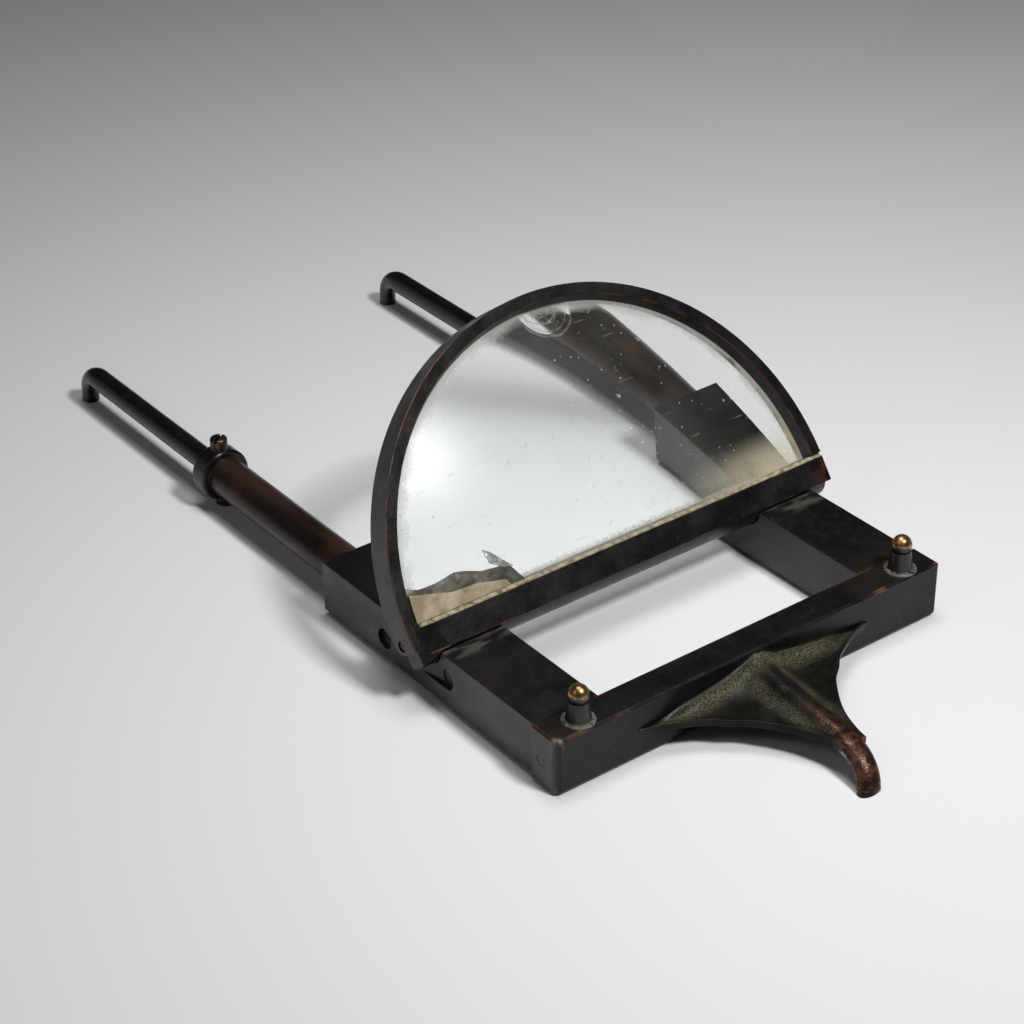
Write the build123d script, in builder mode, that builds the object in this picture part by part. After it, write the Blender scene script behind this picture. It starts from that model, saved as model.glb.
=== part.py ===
from build123d import *

import os
from math import cos, exp, radians, sin, sqrt

os.makedirs("parts", exist_ok=True)

# Ship's compass magnifier, dimensions in millimetres.
# X runs along the crossbar, Y rearwards from the crossbar's front face, Z up from the face it stands on.

# front crossbar
BAR_LENGTH = 127.0
BAR_DEPTH = 9.6
BAR_HEIGHT = 16.43
BAR_LEFT_CORNER_R = 2.0
BAR_RIGHT_CORNER_R = 0.8
BAR_RIGHT_FOOT_R = 1.5
BAR_EDGE = 0.5

# side rails
RAIL_X = 52.9
RAIL_WIDTH = 19.56
RAIL_BOTTOM = 1.12
RAIL_TOP = 16.28
RAIL_END_Y = 100.15
RAIL_EDGE_R = 0.45
TENON_X = 53.0
TENON_WIDTH = 12.0
TENON_Y = 3.2
TENON_BOTTOM = 4.0
TENON_TOP = 12.4
TENON_MID_Z = (TENON_BOTTOM + TENON_TOP) / 2
DOWEL_R = 1.5
DOWEL_Y = 6.0
DOWEL_Z = 8.0
DOWEL_INNER_X = 48.0
DOWEL_OUTER_X = 63.4
RECESS_FRONT_Y = 42.5
RECESS_END_Y = 56.0
RECESS_Z = 9.2
RECESS_R = 2.9
RECESS_DEPTH = 1.7

# tubes, collars and hooked rods
TUBE_X = 53.74
TUBE_Z = 9.765
TUBE_R = 5.615
TUBE_BORE_R = 4.6
TUBE_FRONT_Y = 66.0
TUBE_END_Y = 167.4
PLUG_END_Y = 76.0
PISTON_R = 4.55
PISTON_LENGTH = 6.0
COLLAR_Y = 162.76
COLLAR_END_Y = 168.94
COLLAR_R = 7.61
COLLAR_EDGE_R = 0.9
ROD_R = 3.29
ROD_BORE_R = 3.34
ROD_START_Y = 76.05
HOOK_BEND_R = 7.0
HOOK_TIP_R = 2.55
HOOK_Y_LEFT = 241.2
HOOK_Y_RIGHT = 237.73
SPRING_WIRE_R = 0.4
SPRING_MEAN_R = 3.96
SPRING_TURNS = 17

# screws
TUBE_SCREW_Y = 72.2
TUBE_SCREW_Z = 7.0
TUBE_SCREW_SHANK_R = 1.3
TUBE_SCREW_HEAD_R = 2.5
TUBE_SCREW_POCKET_R = 2.9
TUBE_SCREW_SEAT_X = 60.2
TUBE_SCREW_TOP_X = 61.7
TUBE_SCREW_TIP_X = 55.2
COLLAR_SCREW_Y = 165.5
COLLAR_SCREW_R = 1.4
COLLAR_SCREW_HEAD_R = 2.45
COLLAR_SCREW_SEAT_Z = 17.1
COLLAR_SCREW_TOP_Z = 21.0
COLLAR_SCREW_TIP_Z = 14.5
COLLAR_PIN_Y = 164.5
COLLAR_PIN_R = 1.4
COLLAR_PIN_HEAD_R = 2.55
COLLAR_PIN_SEAT_Z = 2.5
COLLAR_PIN_BOTTOM_Z = 0.1
COLLAR_PIN_TIP_Z = 5.05
SLOT_WIDTH = 0.9
SLOT_DEPTH = 1.0

# ball studs
STUD_X = 53.32
STUD_Y = 4.26
STUD_BALL_R = 2.7
STUD_BALL_Z = 23.94
STUD_NECK_TOP_Z = 22.2
STUD_NECK_TOP_R = 2.6
STUD_NECK_BASE_R = 3.3
STUD_FLANGE_R = 4.3
STUD_FLANGE_HEIGHT = 0.6
STUD_SPIGOT_R = 1.6
STUD_SPIGOT_Z = 12.8

# lens frame, leaned back from upright about its bottom front edge
LEAN_DEG = 36.42
FOOT_Y = 47.475
FOOT_Z = 17.053
FRAME_DEPTH = 8.62
LENS_BAR_TOP = 8.1
LENS_BAR_LIP = 1.2
LENS_BAR_END = 67.4
LENS_BAR_CAP_END = 69.6
LENS_BAR_CAP_DEPTH = 3.0
BEVEL_START = (-61.7, 0.0)
BEVEL_END = (-68.0, 2.9)
FACET_SHAPE = [(2.2, 0.0), (-3.2, 1.47), (-1.0, -1.5)]
FACET_TOP = 7.0
RING_CENTRE_V = 6.4
RIM_R = 69.64
RIM_FRONT_R = 66.46
RIM_LIP_R = 65.27
RIM_LIP_DEPTH = 2.75
REBATE_R = 67.4
GROOVE_R = 67.9
GROOVE_FRONT = 6.2
GROOVE_BACK = 7.9
RETAINER_R = 64.6
EAR_BOTTOM_V = 1.7
EAR_CORNER_R = 3.4

# lens
LENS_R = 264.0
LENS_EDGE_R = 67.3
LENS_EDGE_BACK = 5.5
CHIP_CENTRE_U = 4.2
CHIP_CENTRE_V = 71.4
CHIP_RADIUS = 8.6
CHIP_DEPTH = 0.8
FRACTURE_DEPTH = 3.5
FRACTURE_FRONT = -4.0
FRACTURE_INNER = [(-68, 16.2), (-57, 13.2), (-52.5, 12.0), (-45, 11.6), (-37, 9.7), (-35, 6), (-68, 6)]
FRACTURE_OUTER = [(-68, 22), (-57, 20.5), (-50, 21), (-44.5, 15.5), (-37, 13.9), (-33, 6), (-68, 6)]
PUTTY_FRONT = 1.3

# hinge: a lug on each rail stands in a slot of the lens bar
HINGE_Y = 54.3
HINGE_Z = 17.15
HINGE_SWING_DEG = 70.0
LUG_R = 2.6
LUG_INNER_X = 50.0
LUG_OUTER_X = 57.0
LUG_STEM_HALF = 1.8
LUG_STEM_LENGTH = 7.6
LUG_STEM_DEG = -60.0
SLOT_R = 2.7
SLOT_INNER_X = 49.2
SLOT_OUTER_X = 57.8
SLOT_STEM_HALF = 1.86
SLOT_REACH = 14.0
PIN_R = 1.1
PIN_BORE_R = 1.14
PIN_INNER_X = 47.8
PIN_OUTER_X = 69.25
PIN_MOUTH_R = 1.5
PIN_MOUTH_X = 69.0
WASHER_R = 2.4
WASHER_THICKNESS = 0.72
TROUGH_R = 7.15
KNUCKLE_R = 6.82

# clip web and finger; the outline gives the web's half width at each distance in front of the crossbar
WEB_OUTLINE = [(-0.6, 38.4), (0.0, 38.25), (1.3, 33.6), (3.0, 29.6), (4.8, 26.0), (8.2, 20.8), (12.3, 16.0),
               (16.0, 12.5), (19.5, 9.9), (24.0, 7.1), (28.0, 5.3), (32.0, 4.0), (36.0, 3.25)]
WEB_BOTTOM_Z = 6.6
WEB_FLOOR_Z = 8.1
WEB_LIP_HEIGHT = 0.7
WEB_LIP_WIDTH = 1.3
FLARE_HEIGHT = 5.6
FLARE_REACH = 9.5
RIB_ROOT_Z = 13.9
RIB_END_Z = 9.3
RIB_ROOT_HALF = 6.4
RIB_END_HALF = 2.7
FINGER_PATH = [(0.0, -31.0, 7.8), (-0.5, -36.0, 7.2), (-1.5, -41.2, 4.3), (-2.7, -43.6, 0.4)]
FINGER_WIDTH = 6.4
FINGER_THICKNESS = 3.9

# long reach used where a cut must run past every face
FAR = 200.0

LEAN = radians(LEAN_DEG)
UP = Vector(0, sin(LEAN), cos(LEAN))
BACK = Vector(0, cos(LEAN), -sin(LEAN))
FOOT = Vector(0, FOOT_Y, FOOT_Z)
RING_CENTRE = FOOT + UP * RING_CENTRE_V

# faces of the lens frame: its front, its cross-section and a cut through its axis
frame_front = Plane(origin=FOOT, x_dir=(1, 0, 0), z_dir=BACK * -1)
frame_section = Plane(origin=FOOT, x_dir=BACK, z_dir=(1, 0, 0))
ring_section = Plane(origin=RING_CENTRE, x_dir=(1, 0, 0), z_dir=UP)
ring_axis = Axis(RING_CENTRE, BACK)

hinge_offset = Vector(0, HINGE_Y, HINGE_Z) - FOOT
HINGE_D = hinge_offset.dot(BACK)
HINGE_V = hinge_offset.dot(UP)


def across(x):
    """Plane facing +X at the given x, with Y and Z as its own axes."""
    return Plane(origin=(x, 0, 0), x_dir=(0, 1, 0), z_dir=(1, 0, 0))


def facing_back(y):
    """Plane facing +Y at the given y, with -X and Z as its own axes."""
    return Plane(origin=(0, y, 0), x_dir=(-1, 0, 0), z_dir=(0, 1, 0))


def save(part, name):
    part.label = name
    export_step(part, "parts/" + name + ".step")


def tube_end_planes(side):
    """Plane facing +Y at the front end of a tube, centred on the tube's axis."""
    return Plane(origin=(side * TUBE_X, TUBE_FRONT_Y, TUBE_Z), x_dir=(1, 0, 0), z_dir=(0, 1, 0))


def web_stations(half):
    """X positions across the web: close together at the lips, spread out between them."""
    lip = min(WEB_LIP_WIDTH, 0.16 * half)
    right = [0.12 * half, 0.26 * half, 0.45 * half, 0.68 * half, half - 1.6 * lip, half - 0.6 * lip, half]
    return [-x for x in reversed(right)] + [0] + right


def web_height(x, half, reach):
    """Height of the web's top at x from its middle, reach in front of the crossbar's face."""
    along = max(reach, 0) / WEB_OUTLINE[-1][0]
    rib_top = RIB_ROOT_Z + (RIB_END_Z - RIB_ROOT_Z) * along ** 0.8
    rib_half = RIB_ROOT_HALF + (RIB_END_HALF - RIB_ROOT_HALF) * along ** 0.7
    rib = (rib_top - WEB_FLOOR_Z) * exp(-(x / rib_half) ** 1.8)
    spread = max(1 - x / WEB_OUTLINE[0][1], 0)
    flare_reach = 0.1 + FLARE_REACH * spread ** 0.7
    flare = FLARE_HEIGHT * spread * max(1 - max(reach, 0) / flare_reach, 0) ** 2.4
    lip_width = min(WEB_LIP_WIDTH, 0.16 * half)
    lip = WEB_LIP_HEIGHT * exp(-((half - x - 0.5 * lip_width) / lip_width) ** 2)
    return WEB_FLOOR_Z + max(rib, flare) + 0.3 * min(rib, flare) + lip


def make_crossbar():
    with BuildPart() as crossbar:
        with BuildSketch(Plane.XY):
            with Locations((0, BAR_DEPTH / 2)):
                Rectangle(BAR_LENGTH, BAR_DEPTH)
        extrude(amount=BAR_HEIGHT)
        front_corners = crossbar.edges().filter_by(Axis.Z).sort_by(Axis.Y)[:2].sort_by(Axis.X)
        fillet(front_corners[0], BAR_LEFT_CORNER_R)
        fillet(front_corners[1], BAR_RIGHT_CORNER_R)
        fillet(crossbar.edges().filter_by(Axis.Y).group_by(Axis.Z)[0].sort_by(Axis.X)[-1], BAR_RIGHT_FOOT_R)
        chamfer(crossbar.edges().group_by(Axis.Z)[-1], BAR_EDGE)
        # mortises for the rails' tenons
        with BuildSketch(Plane.XZ.offset(-BAR_DEPTH)):
            with Locations((-TENON_X, TENON_MID_Z), (TENON_X, TENON_MID_Z)):
                Rectangle(TENON_WIDTH, TENON_TOP - TENON_BOTTOM)
        extrude(amount=BAR_DEPTH - TENON_Y, mode=Mode.SUBTRACT)
        # dowel holes in from both ends
        for side in (-1, 1):
            with BuildSketch(across(side * DOWEL_INNER_X)):
                with Locations((DOWEL_Y, DOWEL_Z)):
                    Circle(DOWEL_R)
            extrude(amount=side * (BAR_LENGTH / 2 - DOWEL_INNER_X), mode=Mode.SUBTRACT)
        # stud holes from the top
        with BuildSketch(Plane.XY.offset(STUD_SPIGOT_Z)):
            with Locations((-STUD_X, STUD_Y), (STUD_X, STUD_Y)):
                Circle(STUD_SPIGOT_R)
        extrude(amount=BAR_HEIGHT - STUD_SPIGOT_Z, mode=Mode.SUBTRACT)
        # clip web: one hollow casting, flared up to the crossbar and ribbed down its middle
        for reach, half in WEB_OUTLINE:
            top = [(x, web_height(abs(x), half, reach)) for x in web_stations(half)]
            with BuildSketch(facing_back(-reach)):
                with BuildLine():
                    Spline(*top)
                    Polyline(top[-1], (0.97 * half, WEB_BOTTOM_Z), (-0.97 * half, WEB_BOTTOM_Z), top[0])
                make_face()
        loft()
        # finger that turns down to the standing face
        with BuildLine():
            path = Spline(*FINGER_PATH)
        with BuildSketch(Plane(origin=path @ 0, x_dir=(1, 0, 0), z_dir=path % 0)):
            Ellipse(FINGER_WIDTH / 2, FINGER_THICKNESS / 2)
        sweep(path=path)
        with BuildSketch(Plane(origin=path @ 1, x_dir=(1, 0, 0), z_dir=path % 1)):
            Ellipse(FINGER_WIDTH / 2, FINGER_THICKNESS / 2)
        extrude(amount=3)
        with BuildSketch(Plane.XY):
            with Locations((0, -FAR / 2)):
                Rectangle(FAR, FAR)
        extrude(amount=-10, mode=Mode.SUBTRACT)
    return crossbar.part


def make_rail(side):
    with BuildPart() as rail:
        with BuildSketch(Plane.XZ.offset(-BAR_DEPTH)):
            with Locations((side * RAIL_X, (RAIL_BOTTOM + RAIL_TOP) / 2)):
                RectangleRounded(RAIL_WIDTH, RAIL_TOP - RAIL_BOTTOM, RAIL_EDGE_R)
        extrude(amount=-(RAIL_END_Y - BAR_DEPTH))
        # round trough under the lens bar, about the hinge
        with BuildSketch(across(side * RAIL_X)):
            with Locations((HINGE_Y, HINGE_Z)):
                Circle(TROUGH_R)
        extrude(amount=RAIL_WIDTH, both=True, mode=Mode.SUBTRACT)
        # hinge lug
        stem = radians(LUG_STEM_DEG)
        stem_mid = (HINGE_Y + cos(stem) * LUG_STEM_LENGTH / 2, HINGE_Z + sin(stem) * LUG_STEM_LENGTH / 2)
        with BuildSketch(across(side * LUG_INNER_X)):
            with Locations((HINGE_Y, HINGE_Z)):
                Circle(LUG_R)
            with Locations(stem_mid):
                Rectangle(LUG_STEM_LENGTH, 2 * LUG_STEM_HALF, rotation=LUG_STEM_DEG)
        extrude(amount=side * (LUG_OUTER_X - LUG_INNER_X))
        with BuildSketch(across(side * LUG_INNER_X)):
            with Locations((HINGE_Y, HINGE_Z)):
                Circle(PIN_BORE_R)
        extrude(amount=side * (LUG_OUTER_X - LUG_INNER_X), mode=Mode.SUBTRACT)
        # tenon
        with BuildSketch(Plane.XZ.offset(-BAR_DEPTH)):
            with Locations((side * TENON_X, TENON_MID_Z)):
                Rectangle(TENON_WIDTH, TENON_TOP - TENON_BOTTOM)
        extrude(amount=BAR_DEPTH - TENON_Y)
        with BuildSketch(across(side * DOWEL_INNER_X)):
            with Locations((DOWEL_Y, DOWEL_Z)):
                Circle(DOWEL_R)
        extrude(amount=side * (BAR_LENGTH / 2 - DOWEL_INNER_X), mode=Mode.SUBTRACT)
        # bore for the tube
        with BuildSketch(tube_end_planes(side)):
            Circle(TUBE_R)
        extrude(amount=RAIL_END_Y - TUBE_FRONT_Y, mode=Mode.SUBTRACT)
        # hole for the screw that holds the tube
        outer_x = RAIL_X + RAIL_WIDTH / 2
        with BuildSketch(across(side * outer_x)):
            with Locations((TUBE_SCREW_Y, TUBE_SCREW_Z)):
                Circle(TUBE_SCREW_POCKET_R)
        extrude(amount=-side * (outer_x - TUBE_SCREW_SEAT_X), mode=Mode.SUBTRACT)
        with BuildSketch(across(side * outer_x)):
            with Locations((TUBE_SCREW_Y, TUBE_SCREW_Z)):
                Circle(TUBE_SCREW_SHANK_R)
        extrude(amount=-side * (outer_x - TUBE_SCREW_TIP_X), mode=Mode.SUBTRACT)
        # recess in the outer face, rounded in front and running out to the rear
        with BuildSketch(Plane.XY.offset(RECESS_Z - RECESS_R)):
            with BuildLine():
                round_y = RECESS_FRONT_Y + RECESS_R
                floor_x = outer_x - RECESS_DEPTH
                Polyline((side * (outer_x + 1), round_y), (side * (outer_x + 1), RECESS_END_Y),
                         (side * outer_x, RECESS_END_Y), (side * floor_x, round_y), (side * (outer_x + 1), round_y))
            make_face()
        extrude(amount=2 * RECESS_R, mode=Mode.SUBTRACT)
        with BuildSketch(across(side * outer_x)):
            with Locations((RECESS_FRONT_Y + RECESS_R, RECESS_Z)):
                Circle(RECESS_R)
        extrude(amount=-side * RECESS_DEPTH, mode=Mode.SUBTRACT)
    return rail.part


def make_stud(side):
    with BuildPart() as stud:
        with BuildSketch(Plane(origin=(side * STUD_X, STUD_Y, 0), x_dir=(1, 0, 0), z_dir=(0, -1, 0))):
            with BuildLine():
                ball_top = (0, STUD_BALL_Z + STUD_BALL_R)
                ball_side = (STUD_BALL_R, STUD_BALL_Z)
                rise = STUD_NECK_TOP_Z - STUD_BALL_Z
                ball_foot = (sqrt(STUD_BALL_R ** 2 - rise ** 2), STUD_NECK_TOP_Z)
                flange_top = BAR_HEIGHT + STUD_FLANGE_HEIGHT
                ThreePointArc(ball_top, ball_side, ball_foot)
                Polyline(ball_foot, (STUD_NECK_TOP_R, STUD_NECK_TOP_Z), (STUD_NECK_BASE_R, flange_top),
                         (STUD_FLANGE_R - 0.3, flange_top), (STUD_FLANGE_R, flange_top - 0.3),
                         (STUD_FLANGE_R, BAR_HEIGHT), (STUD_SPIGOT_R, BAR_HEIGHT),
                         (STUD_SPIGOT_R, STUD_SPIGOT_Z), (0, STUD_SPIGOT_Z), ball_top)
            make_face()
        revolve(axis=Axis((side * STUD_X, STUD_Y, 0), (0, 0, 1)))
    return stud.part


def make_tube(side):
    with BuildPart() as tube:
        with BuildSketch(tube_end_planes(side)):
            Circle(TUBE_R)
            Circle(TUBE_BORE_R, mode=Mode.SUBTRACT)
        extrude(amount=TUBE_END_Y - TUBE_FRONT_Y)
        with BuildSketch(across(side * TUBE_SCREW_TIP_X)):
            with Locations((TUBE_SCREW_Y, TUBE_SCREW_Z)):
                Circle(TUBE_SCREW_SHANK_R)
        extrude(amount=side * TUBE_R, mode=Mode.SUBTRACT)
        with BuildSketch(Plane.XY.offset(COLLAR_SCREW_TIP_Z - 1)):
            with Locations((side * TUBE_X, COLLAR_SCREW_Y)):
                Circle(COLLAR_SCREW_R)
        extrude(amount=5, mode=Mode.SUBTRACT)
        with BuildSketch(Plane.XY.offset(COLLAR_PIN_SEAT_Z)):
            with Locations((side * TUBE_X, COLLAR_PIN_Y)):
                Circle(COLLAR_PIN_R)
        extrude(amount=3.4, mode=Mode.SUBTRACT)
    return tube.part


def make_plug(side):
    with BuildPart() as plug:
        with BuildSketch(tube_end_planes(side)):
            Circle(TUBE_BORE_R)
        extrude(amount=PLUG_END_Y - TUBE_FRONT_Y)
        with BuildSketch(across(side * TUBE_SCREW_TIP_X)):
            with Locations((TUBE_SCREW_Y, TUBE_SCREW_Z)):
                Circle(TUBE_SCREW_SHANK_R)
        extrude(amount=side * TUBE_R, mode=Mode.SUBTRACT)
    return plug.part


def make_collar(side):
    with BuildPart() as collar:
        with BuildSketch(tube_end_planes(side).offset(COLLAR_Y - TUBE_FRONT_Y)):
            Circle(COLLAR_R)
        extrude(amount=COLLAR_END_Y - COLLAR_Y)
        fillet(collar.edges(), COLLAR_EDGE_R)
        with BuildSketch(tube_end_planes(side).offset(COLLAR_Y - TUBE_FRONT_Y)):
            Circle(TUBE_R)
        extrude(amount=TUBE_END_Y - COLLAR_Y, mode=Mode.SUBTRACT)
        with BuildSketch(tube_end_planes(side).offset(COLLAR_Y - TUBE_FRONT_Y)):
            Circle(ROD_BORE_R)
        extrude(amount=COLLAR_END_Y - COLLAR_Y, mode=Mode.SUBTRACT)
        # screw on top
        with BuildSketch(Plane.XY.offset(COLLAR_SCREW_SEAT_Z)):
            with Locations((side * TUBE_X, COLLAR_SCREW_Y)):
                Circle(COLLAR_SCREW_HEAD_R)
        extrude(amount=2, mode=Mode.SUBTRACT)
        with BuildSketch(Plane.XY.offset(COLLAR_SCREW_TIP_Z)):
            with Locations((side * TUBE_X, COLLAR_SCREW_Y)):
                Circle(COLLAR_SCREW_R)
        extrude(amount=4, mode=Mode.SUBTRACT)
        # pin underneath
        with BuildSketch(Plane.XY):
            with Locations((side * TUBE_X, COLLAR_PIN_Y)):
                Circle(COLLAR_PIN_HEAD_R)
        extrude(amount=COLLAR_PIN_SEAT_Z, mode=Mode.SUBTRACT)
        with BuildSketch(Plane.XY):
            with Locations((side * TUBE_X, COLLAR_PIN_Y)):
                Circle(COLLAR_PIN_R)
        extrude(amount=COLLAR_PIN_TIP_Z, mode=Mode.SUBTRACT)
    return collar.part


def make_rod(side, hook_y):
    bend_y = hook_y - HOOK_BEND_R
    bend_z = TUBE_Z - HOOK_BEND_R
    slant = HOOK_BEND_R * sin(radians(45))
    with BuildPart() as rod:
        with BuildSketch(tube_end_planes(side).offset(ROD_START_Y - TUBE_FRONT_Y)):
            Circle(ROD_R)
        extrude(amount=bend_y - ROD_START_Y)
        # bend that tapers to the tip, then the tip's straight leg
        with BuildLine():
            ThreePointArc((side * TUBE_X, bend_y, TUBE_Z), (side * TUBE_X, bend_y + slant, bend_z + slant),
                          (side * TUBE_X, hook_y, bend_z))
        with BuildSketch(tube_end_planes(side).offset(bend_y - TUBE_FRONT_Y)):
            Circle(ROD_R)
        with BuildSketch(Plane(origin=(side * TUBE_X, hook_y, bend_z), x_dir=(1, 0, 0), z_dir=(0, 0, -1))):
            Circle(HOOK_TIP_R)
        sweep(multisection=True)
        with BuildSketch(Plane.XY):
            with Locations((side * TUBE_X, hook_y)):
                Circle(HOOK_TIP_R)
        extrude(amount=bend_z)
    return rod.part


def make_piston(side):
    with BuildPart() as piston:
        with BuildSketch(tube_end_planes(side).offset(ROD_START_Y - TUBE_FRONT_Y)):
            Circle(PISTON_R)
            Circle(ROD_R, mode=Mode.SUBTRACT)
        extrude(amount=PISTON_LENGTH)
    return piston.part


def make_spring(side):
    start_y = ROD_START_Y + PISTON_LENGTH + SPRING_WIRE_R
    length = TUBE_END_Y - SPRING_WIRE_R - start_y
    with BuildPart() as spring:
        with BuildLine():
            coil = Helix(pitch=length / SPRING_TURNS, height=length, radius=SPRING_MEAN_R,
                         center=(side * TUBE_X, start_y, TUBE_Z), direction=(0, 1, 0))
        with BuildSketch(Plane(origin=coil @ 0, z_dir=coil % 0)):
            Circle(SPRING_WIRE_R)
        sweep(path=coil, is_frenet=True)
    return spring.part


# frame
save(make_crossbar(), "front_crossbar")
for side, hand in ((-1, "left"), (1, "right")):
    hook_y = HOOK_Y_LEFT if side < 0 else HOOK_Y_RIGHT
    save(make_rail(side), hand + "_rail")
    save(make_stud(side), hand + "_ball_stud")
    save(make_tube(side), hand + "_tube")
    save(make_plug(side), hand + "_tube_plug")
    save(make_collar(side), hand + "_collar")
    save(make_rod(side, hook_y), hand + "_hook_rod")
    save(make_piston(side), hand + "_piston")
    save(make_spring(side), hand + "_spring")

with BuildPart() as crossbar_dowels:
    for side in (-1, 1):
        with BuildSketch(across(side * DOWEL_INNER_X)):
            with Locations((DOWEL_Y, DOWEL_Z)):
                Circle(DOWEL_R)
        extrude(amount=side * (DOWEL_OUTER_X - DOWEL_INNER_X))
save(crossbar_dowels.part, "crossbar_dowels")

with BuildPart() as tube_screws:
    for side in (-1, 1):
        with BuildSketch(across(side * TUBE_SCREW_TIP_X)):
            with Locations((TUBE_SCREW_Y, TUBE_SCREW_Z)):
                Circle(TUBE_SCREW_SHANK_R)
        extrude(amount=side * (TUBE_SCREW_SEAT_X - TUBE_SCREW_TIP_X))
        with BuildSketch(across(side * TUBE_SCREW_SEAT_X)):
            with Locations((TUBE_SCREW_Y, TUBE_SCREW_Z)):
                Circle(TUBE_SCREW_HEAD_R)
        extrude(amount=side * (TUBE_SCREW_TOP_X - TUBE_SCREW_SEAT_X))
        with BuildSketch(across(side * TUBE_SCREW_TOP_X)):
            with Locations((TUBE_SCREW_Y, TUBE_SCREW_Z)):
                Rectangle(2 * TUBE_SCREW_HEAD_R, SLOT_WIDTH, rotation=25)
        extrude(amount=-side * SLOT_DEPTH / 2, mode=Mode.SUBTRACT)
save(tube_screws.part, "tube_screws")

with BuildPart() as collar_screws:
    for side in (-1, 1):
        with BuildSketch(Plane.XY.offset(COLLAR_SCREW_TIP_Z)):
            with Locations((side * TUBE_X, COLLAR_SCREW_Y)):
                Circle(COLLAR_SCREW_R)
        extrude(amount=COLLAR_SCREW_SEAT_Z - COLLAR_SCREW_TIP_Z)
        with BuildSketch(Plane.XY.offset(COLLAR_SCREW_SEAT_Z)):
            with Locations((side * TUBE_X, COLLAR_SCREW_Y)):
                Circle(COLLAR_SCREW_HEAD_R)
        extrude(amount=COLLAR_SCREW_TOP_Z - COLLAR_SCREW_SEAT_Z)
    fillet(collar_screws.edges().group_by(Axis.Z)[-1], 0.7)
    with BuildSketch(Plane.XY.offset(COLLAR_SCREW_TOP_Z)):
        with Locations((-TUBE_X, COLLAR_SCREW_Y), (TUBE_X, COLLAR_SCREW_Y)):
            Rectangle(3 * COLLAR_SCREW_HEAD_R, SLOT_WIDTH, rotation=35)
    extrude(amount=-SLOT_DEPTH, mode=Mode.SUBTRACT)
save(collar_screws.part, "collar_screws")

with BuildPart() as collar_pins:
    for side in (-1, 1):
        with BuildSketch(Plane.XY.offset(COLLAR_PIN_BOTTOM_Z)):
            with Locations((side * TUBE_X, COLLAR_PIN_Y)):
                Circle(COLLAR_PIN_HEAD_R)
        extrude(amount=COLLAR_PIN_SEAT_Z - COLLAR_PIN_BOTTOM_Z)
        with BuildSketch(Plane.XY.offset(COLLAR_PIN_SEAT_Z)):
            with Locations((side * TUBE_X, COLLAR_PIN_Y)):
                Circle(COLLAR_PIN_R)
        extrude(amount=COLLAR_PIN_TIP_Z - COLLAR_PIN_SEAT_Z)
    chamfer(collar_pins.edges().group_by(Axis.Z)[0], 0.4)
save(collar_pins.part, "collar_pins")

# lens frame
front_centre_d = RIM_LIP_DEPTH + sqrt(LENS_R ** 2 - RIM_LIP_R ** 2)
back_centre_d = LENS_EDGE_BACK - sqrt(LENS_R ** 2 - LENS_EDGE_R ** 2)


def front_face_d(r):
    """Depth of the lens's front face at radius r from its axis."""
    return front_centre_d - sqrt(LENS_R ** 2 - r ** 2)


def back_face_d(r):
    """Depth of the lens's back face at radius r from its axis."""
    return back_centre_d + sqrt(LENS_R ** 2 - r ** 2)


with BuildPart() as lens_rim:
    with BuildSketch(ring_section):
        with BuildLine():
            Polyline((RIM_FRONT_R, 0), (RIM_R, 0), (RIM_R, FRAME_DEPTH), (REBATE_R, FRAME_DEPTH),
                     (REBATE_R, GROOVE_BACK), (GROOVE_R, GROOVE_BACK), (GROOVE_R, GROOVE_FRONT),
                     (REBATE_R, GROOVE_FRONT), (REBATE_R, RIM_LIP_DEPTH), (RIM_LIP_R, RIM_LIP_DEPTH),
                     (RIM_FRONT_R, 0))
        make_face()
    revolve(axis=ring_axis)
    with BuildSketch(frame_front.offset(5)):
        with Locations((0, LENS_BAR_TOP - FAR / 2)):
            Rectangle(2 * LENS_BAR_END, FAR)
        with Locations((0, EAR_BOTTOM_V - FAR / 2)):
            Rectangle(FAR, FAR)
    extrude(amount=-20, mode=Mode.SUBTRACT)
    # the right ear is hidden behind the end of the lens bar
    with BuildSketch(frame_front):
        with Locations((LENS_BAR_END + 5, LENS_BAR_TOP - FAR / 2)):
            Rectangle(10, FAR)
    extrude(amount=-LENS_BAR_CAP_DEPTH, mode=Mode.SUBTRACT)
    # ears rounded at the bottom rear corner, and drilled for the hinge pins
    with BuildSketch(frame_section.offset(-FAR / 2)):
        with BuildLine():
            corner_d = FRAME_DEPTH - EAR_CORNER_R
            corner_v = EAR_BOTTOM_V + EAR_CORNER_R
            arc_mid = (corner_d + EAR_CORNER_R * cos(radians(45)), corner_v - EAR_CORNER_R * sin(radians(45)))
            ThreePointArc((corner_d, EAR_BOTTOM_V), arc_mid, (FRAME_DEPTH, corner_v))
            Polyline((FRAME_DEPTH, corner_v), (FRAME_DEPTH + 1, corner_v),
                     (FRAME_DEPTH + 1, EAR_BOTTOM_V - 1), (corner_d, EAR_BOTTOM_V - 1), (corner_d, EAR_BOTTOM_V))
        make_face()
    extrude(amount=FAR, mode=Mode.SUBTRACT)
    with BuildSketch(frame_section.offset(-FAR / 2)):
        with Locations((HINGE_D, HINGE_V)):
            Circle(PIN_R)
    extrude(amount=FAR, mode=Mode.SUBTRACT)
    for side in (-1, 1):
        with BuildSketch(frame_section.offset(side * PIN_MOUTH_X)):
            with Locations((HINGE_D, HINGE_V)):
                Circle(PIN_MOUTH_R)
        extrude(amount=side * 2, mode=Mode.SUBTRACT)
save(lens_rim.part, "lens_rim")

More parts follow.
